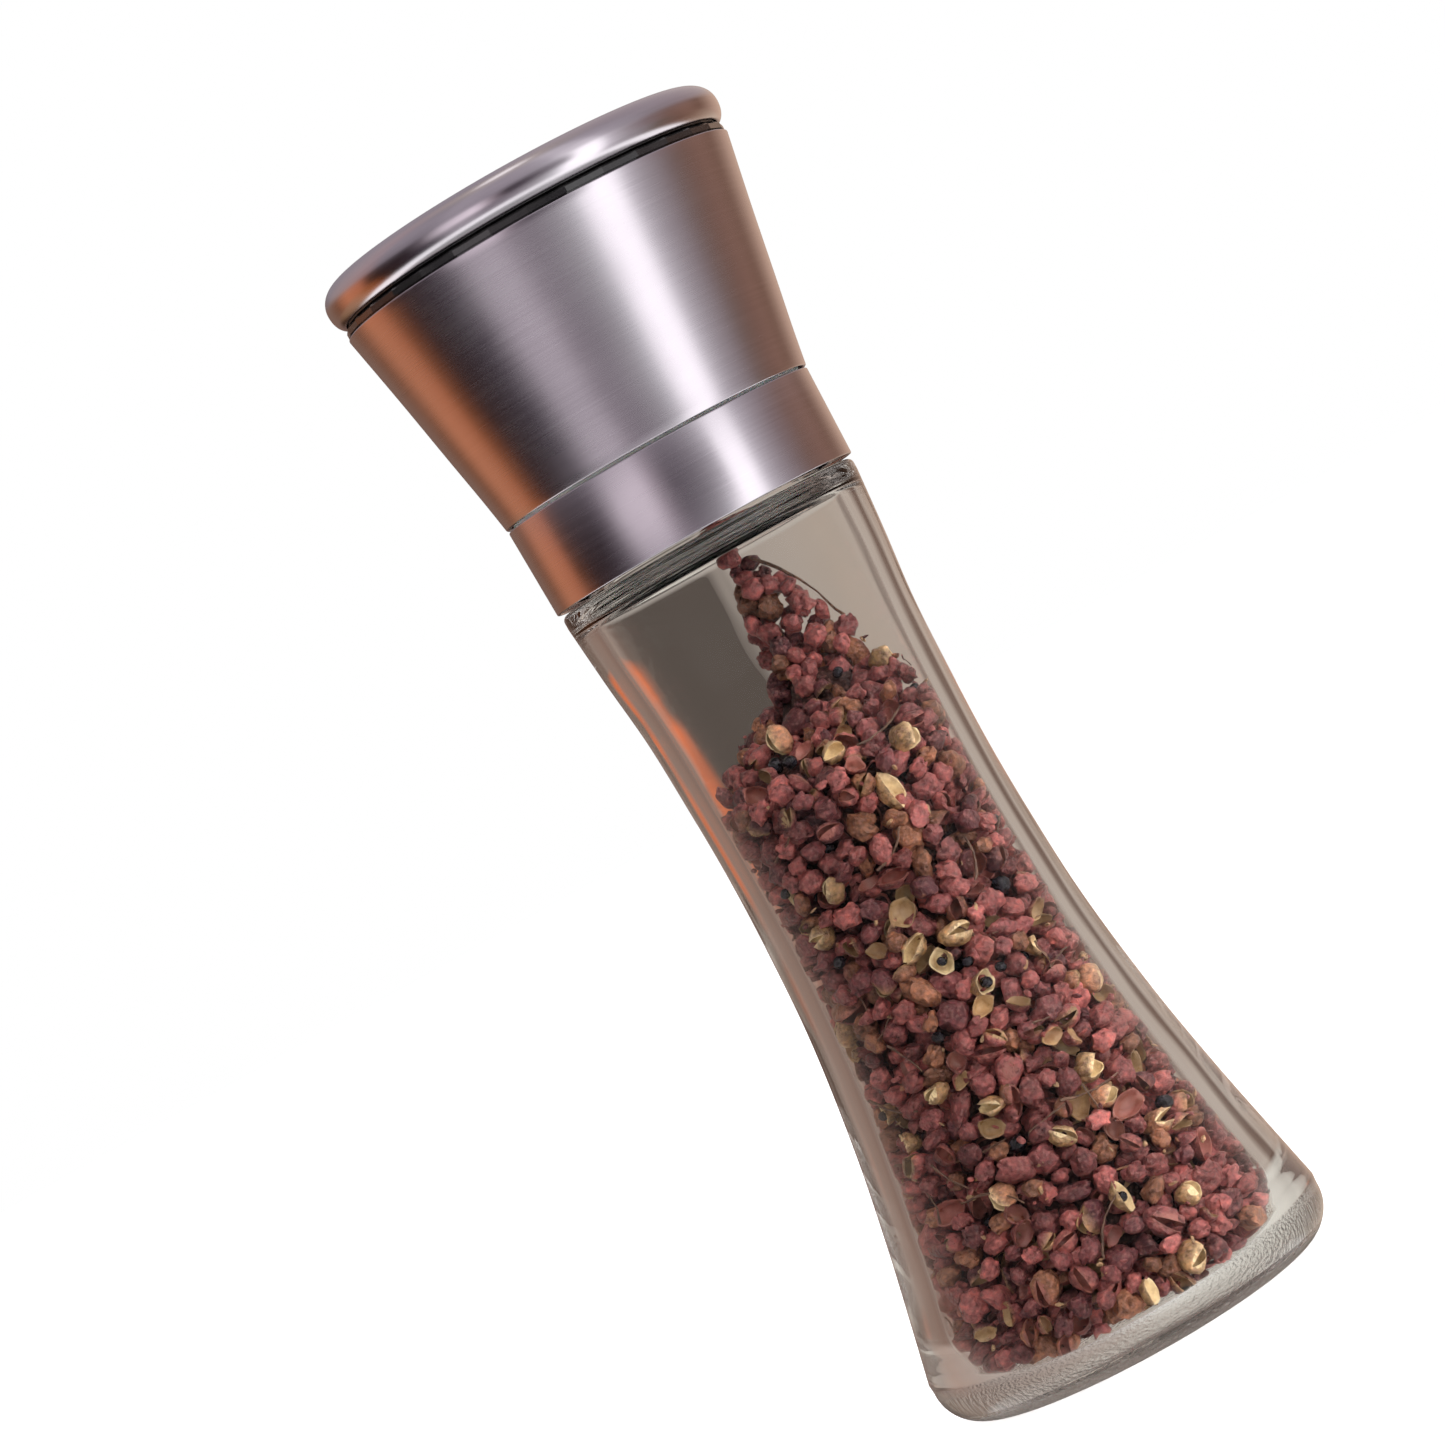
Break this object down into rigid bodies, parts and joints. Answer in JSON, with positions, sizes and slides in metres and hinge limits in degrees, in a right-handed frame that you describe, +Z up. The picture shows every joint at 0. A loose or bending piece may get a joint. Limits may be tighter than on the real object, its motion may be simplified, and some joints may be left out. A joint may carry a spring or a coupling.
{
  "type": "pepper mill",
  "caption": "Refillable pepper mill: waisted clear glass jar of dried pepper husks under a flared brushed steel head with an adjustable ceramic burr set and a pull-off cap.",
  "frame": {"origin": "centre of the jar's foot, on the surface the mill stands on", "axes": "+Z up the mill's axis towards the cap; the load of pepper leans towards +Y and its open side faces -Y"},
  "size_m": [0.065, 0.065, 0.1905],
  "materials": {
    "clear_glass": "clear, polished, thick-walled",
    "dried_pepper": "loose dried husks, matt",
    "silicone": "matt translucent silicone",
    "brushed_stainless": "fine brushed",
    "black_plastic": "moulded, satin",
    "spring_steel": "bright drawn",
    "white_ceramic": "unglazed",
    "brass": "turned"
  },
  "bodies": {
    "jar": {"glass_jar": "clear_glass", "peppercorn_fill": "dried_pepper"},
    "seal": {"neck_seal": "silicone"},
    "collar": {"collar_sleeve": "brushed_stainless", "collar_insert": "black_plastic", "thrust_washer": "silicone", "retaining_ring": "spring_steel", "drive_spider": "black_plastic", "spindle": "spring_steel", "burr_spring": "spring_steel"},
    "head": {"head_shell": "brushed_stainless", "head_liner": "black_plastic", "outer_burr": "white_ceramic", "burr_retainer": "black_plastic"},
    "rotor": {"inner_burr": "white_ceramic", "burr_driver": "black_plastic", "knob_washer": "spring_steel"},
    "knob": {"adjuster_knob": "black_plastic", "knob_nut": "brass"},
    "cap": {"cap_shell": "brushed_stainless", "cap_liner": "black_plastic", "cap_seal": "silicone"}
  },
  "joints": [
    {"name": "head_rise", "type": "slide", "parent": "jar", "child": "seal", "axis": [0, 0, 1], "range_m": [0, 0.014]},
    {"name": "collar_unscrew", "type": "hinge", "parent": "seal", "child": "collar", "pos_m": [0, 0, 0.1395], "axis": [0, 0, 1], "range_deg": [0, 1260]},
    {"name": "head_turn", "type": "hinge", "parent": "collar", "child": "head", "pos_m": [0, 0, 0.165], "axis": [0, 0, 1], "continuous": true},
    {"name": "cap_pull", "type": "slide", "parent": "head", "child": "cap", "axis": [0, 0, 1], "range_m": [0, 0.03]},
    {"name": "burr_travel", "type": "slide", "parent": "collar", "child": "rotor", "axis": [0, 0, 1], "range_m": [-0.00037, 0.00225], "deforming": ["burr_spring"]},
    {"name": "knob_turn", "type": "hinge", "parent": "rotor", "child": "knob", "pos_m": [0, 0, 0.178], "axis": [0, 0, 1], "range_deg": [-90, 540]}
  ],
  "couplings": [
    {"joint": "collar_unscrew", "follows": "head_rise", "rad_per_m": 1570.8},
    {"joint": "knob_turn", "follows": "burr_travel", "rad_per_m": 4188.8}
  ]
}
